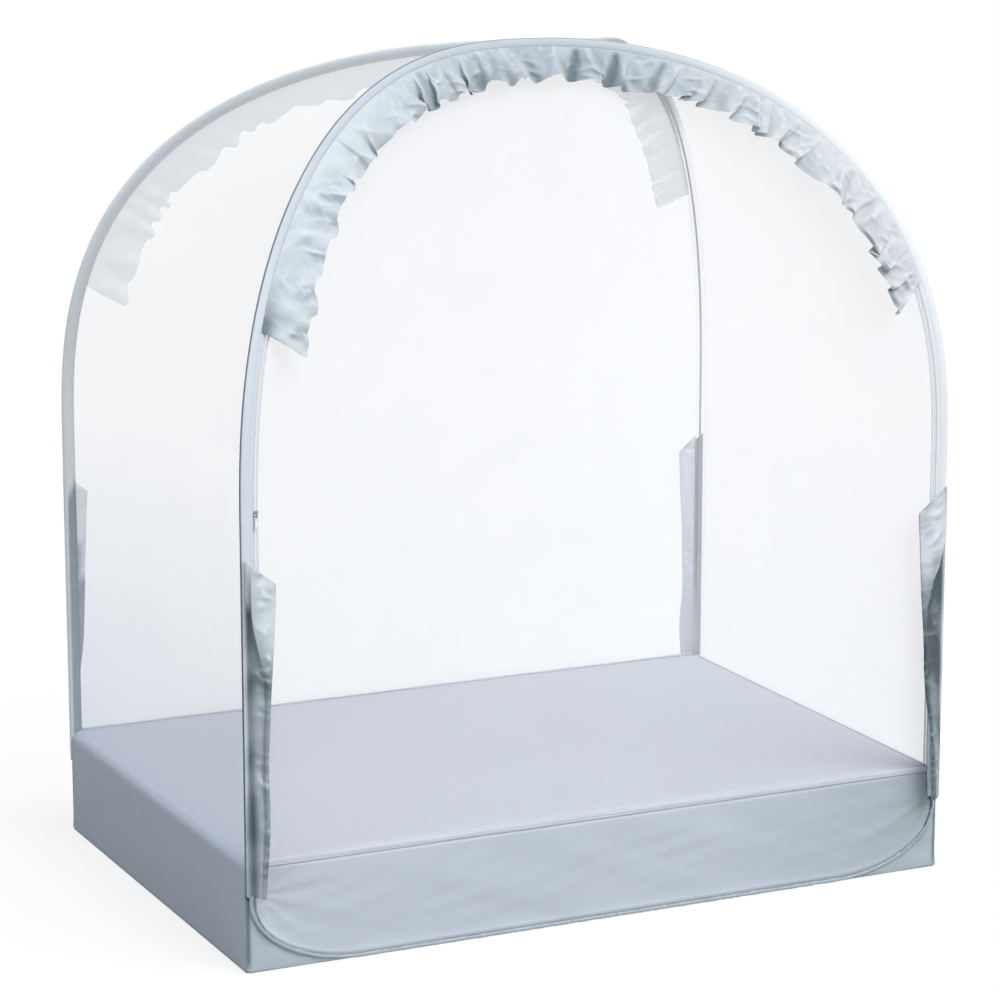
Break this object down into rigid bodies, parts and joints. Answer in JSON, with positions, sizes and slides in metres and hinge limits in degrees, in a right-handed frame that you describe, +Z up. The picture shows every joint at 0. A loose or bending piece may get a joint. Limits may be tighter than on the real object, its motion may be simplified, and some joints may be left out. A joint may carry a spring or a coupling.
{
  "type": "mosquito net tent",
  "caption": "Free-standing mosquito net tent over a mattress: sprung arches in cloth sleeves meet at the top, with ruffled valances, corner flaps and a zipped front net.",
  "frame": {"origin": "on the floor under the middle of the bed", "axes": "+X along the zipped front from left to right, -Y towards the front, +Z up"},
  "size_m": [1.5, 1.0824, 1.6696],
  "materials": {
    "sleeve_cloth": "grey-blue woven polyester with a soft sheen",
    "skirt_cloth": "flat grey-blue polyester sheet",
    "mattress_cloth": "smooth pale grey-blue cover over foam",
    "netting": "very fine see-through white mesh",
    "spring_steel": "oiled spring steel wire",
    "zip_nylon": "pale grey-blue coil and tape",
    "zip_metal": "plated die-cast metal"
  },
  "bodies": {
    "tent": {"floor_cloth": "skirt_cloth", "mattress": "mattress_cloth", "front_hoop_wire": "spring_steel", "back_hoop_wire": "spring_steel", "front_wire_ferrule": "spring_steel", "back_wire_ferrule": "spring_steel", "front_sleeve": "sleeve_cloth", "front_left_leg_sleeve": "sleeve_cloth", "front_right_leg_sleeve": "sleeve_cloth", "back_sleeve": "sleeve_cloth", "back_left_leg_sleeve": "sleeve_cloth", "back_right_leg_sleeve": "sleeve_cloth", "front_base_piping": "sleeve_cloth", "back_base_piping": "sleeve_cloth", "front_skirt": "skirt_cloth", "back_skirt": "skirt_cloth", "left_skirt": "skirt_cloth", "right_skirt": "skirt_cloth", "front_left_gusset": "skirt_cloth", "front_right_gusset": "skirt_cloth", "back_left_gusset": "skirt_cloth", "back_right_gusset": "skirt_cloth", "front_seam_tape": "sleeve_cloth", "back_seam_tape": "sleeve_cloth", "left_seam_tape": "sleeve_cloth", "right_seam_tape": "sleeve_cloth", "front_net": "netting", "back_net": "netting", "left_side_net": "netting", "right_side_net": "netting", "front_valance": "sleeve_cloth", "back_valance": "sleeve_cloth", "front_left_flap": "sleeve_cloth", "front_right_flap": "sleeve_cloth", "back_left_flap": "sleeve_cloth", "back_right_flap": "sleeve_cloth", "zip_half_on_sleeve": "zip_nylon", "zip_half_on_net": "zip_nylon"},
    "slider": {"zip_slider": "zip_metal"},
    "outer_tab": {"outer_pull": "zip_metal"},
    "inner_tab": {"inner_pull": "zip_metal"}
  },
  "joints": [
    {"name": "zip_slide", "type": "slide", "parent": "tent", "child": "slider", "axis": [0, 0, 1], "range_m": [-0.645, 0.015]},
    {"name": "outer_pull_swing", "type": "hinge", "parent": "slider", "child": "outer_tab", "pos_m": [-0.7186, -0.4994, 0.87], "axis": [-1, 0, 0], "range_deg": [0, 110]},
    {"name": "inner_pull_swing", "type": "hinge", "parent": "slider", "child": "inner_tab", "pos_m": [-0.7186, -0.4916, 0.87], "axis": [1, 0, 0], "range_deg": [0, 110]}
  ]
}
